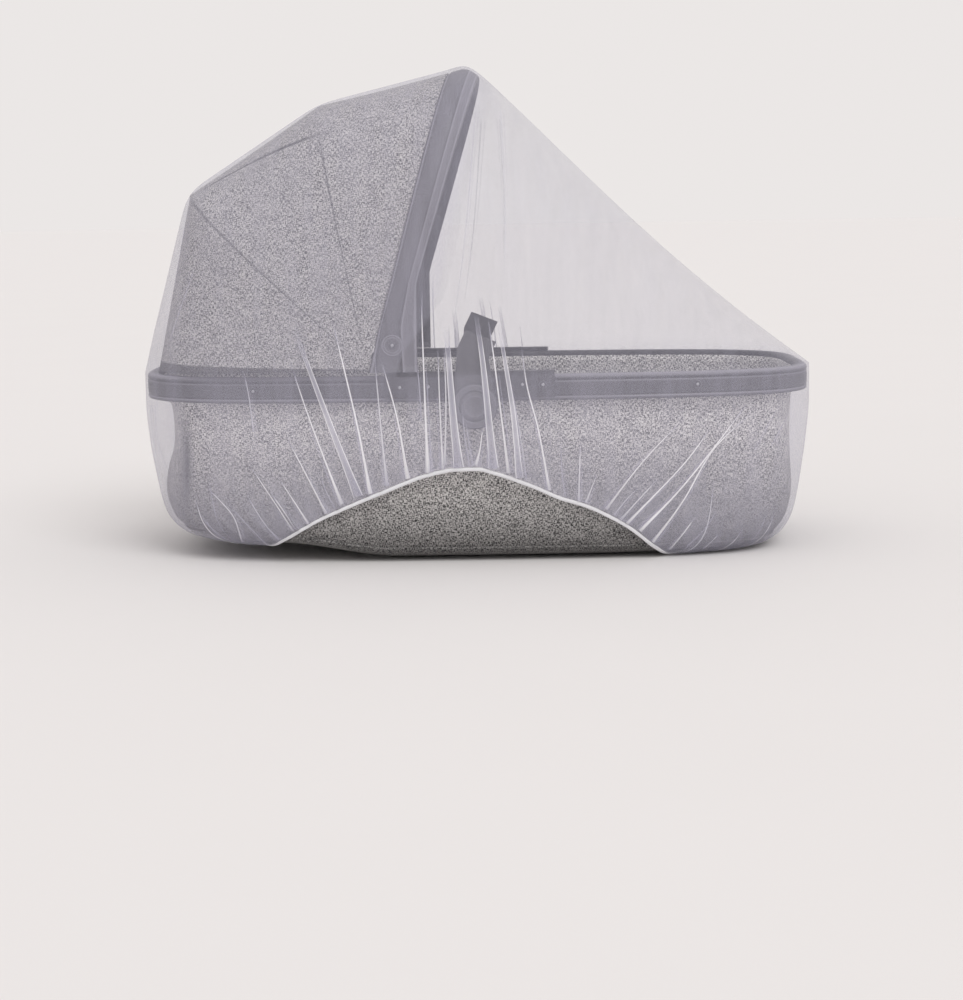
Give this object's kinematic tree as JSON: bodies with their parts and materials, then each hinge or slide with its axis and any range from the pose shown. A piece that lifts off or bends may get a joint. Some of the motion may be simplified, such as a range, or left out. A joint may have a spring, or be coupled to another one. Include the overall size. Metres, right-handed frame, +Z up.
{
  "type": "stroller mosquito net on a carrycot with a hood and rim rail",
  "caption": "Sheer mosquito net with a white elastic hem, stretched over a carrycot's raised hood and rim and gathered in folds under its sides and ends.",
  "frame": {"origin": "middle of the footprint, on the surface that the part rests on", "axes": "+X to the foot end, +Y to the far side, +Z up"},
  "size_m": [0.7884, 0.4304, 0.5685],
  "materials": {
    "net": "fine sheer tulle net, white to pale lavender",
    "elastic": "white ribbed elastic binding",
    "grey_cloth": "heathered grey linen-look cloth",
    "dark_plastic": "satin black moulded plastic"
  },
  "bodies": {
    "root": {"net_cover": "net", "hem_elastic": "elastic", "hood_cloth": "grey_cloth", "hood_rib_mid": "dark_plastic", "hood_rib_rear": "dark_plastic", "front_bow": "dark_plastic", "rim_rail": "dark_plastic", "cot_tub": "grey_cloth", "hinge_disc_near": "dark_plastic", "hinge_disc_far": "dark_plastic", "side_plate_near": "dark_plastic", "side_plate_far": "dark_plastic", "adaptor_arm_near": "dark_plastic", "adaptor_arm_far": "dark_plastic", "adaptor_boss_near": "dark_plastic", "adaptor_boss_far": "dark_plastic"}
  },
  "joints": []
}
